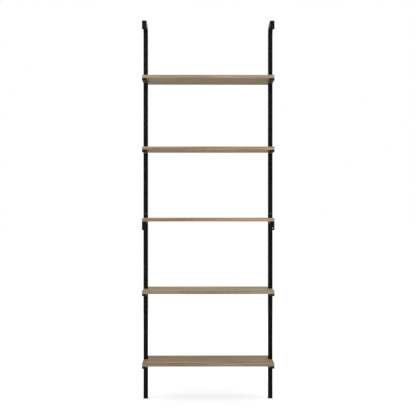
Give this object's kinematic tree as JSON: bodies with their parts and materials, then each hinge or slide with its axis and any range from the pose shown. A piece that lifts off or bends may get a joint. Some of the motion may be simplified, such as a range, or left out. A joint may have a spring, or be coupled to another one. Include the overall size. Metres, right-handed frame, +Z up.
{
  "type": "ladder shelf",
  "caption": "Tall wall-fixed ladder shelf: bent black square-tube posts carry wood-grain boards on short arms, with screw plates at the top and at half height.",
  "frame": {"origin": "on the floor, midway across the width and midway between the wall and the boards' room edge", "axes": "+X across, to the right when looking from the wall to the room; +Y from the wall to the room; +Z up"},
  "size_m": [0.64, 0.3, 1.85],
  "materials": {
    "powder_coat": "matt black powder coat",
    "oak_laminate": "satin weathered-oak laminate",
    "black_plastic": "moulded matt black plastic",
    "black_screws": "black zinc-plated steel",
    "bare_steel": "bare steel, hidden inside the posts"
  },
  "bodies": {
    "root": {"shelf_board_1": "oak_laminate", "board_screws_1": "black_screws", "shelf_board_2": "oak_laminate", "board_screws_2": "black_screws", "shelf_board_3": "oak_laminate", "board_screws_3": "black_screws", "shelf_board_4": "oak_laminate", "board_screws_4": "black_screws", "shelf_board_5": "oak_laminate", "board_screws_5": "black_screws", "left_lower_post": "powder_coat", "left_upper_post": "powder_coat", "left_joint_sleeve": "bare_steel", "left_joint_screw": "black_screws", "left_foot": "black_plastic", "left_top_wall_plate": "powder_coat", "left_middle_wall_plate": "powder_coat", "left_arm_1": "powder_coat", "left_arm_plug_1": "black_plastic", "left_arm_2": "powder_coat", "left_arm_plug_2": "black_plastic", "left_arm_3": "powder_coat", "left_arm_4": "powder_coat", "left_arm_plug_4": "black_plastic", "left_arm_5": "powder_coat", "left_arm_plug_5": "black_plastic", "right_lower_post": "powder_coat", "right_upper_post": "powder_coat", "right_joint_sleeve": "bare_steel", "right_joint_screw": "black_screws", "right_foot": "black_plastic", "right_top_wall_plate": "powder_coat", "right_middle_wall_plate": "powder_coat", "right_arm_1": "powder_coat", "right_arm_plug_1": "black_plastic", "right_arm_2": "powder_coat", "right_arm_plug_2": "black_plastic", "right_arm_3": "powder_coat", "right_arm_4": "powder_coat", "right_arm_plug_4": "black_plastic", "right_arm_5": "powder_coat", "right_arm_plug_5": "black_plastic"}
  },
  "joints": []
}
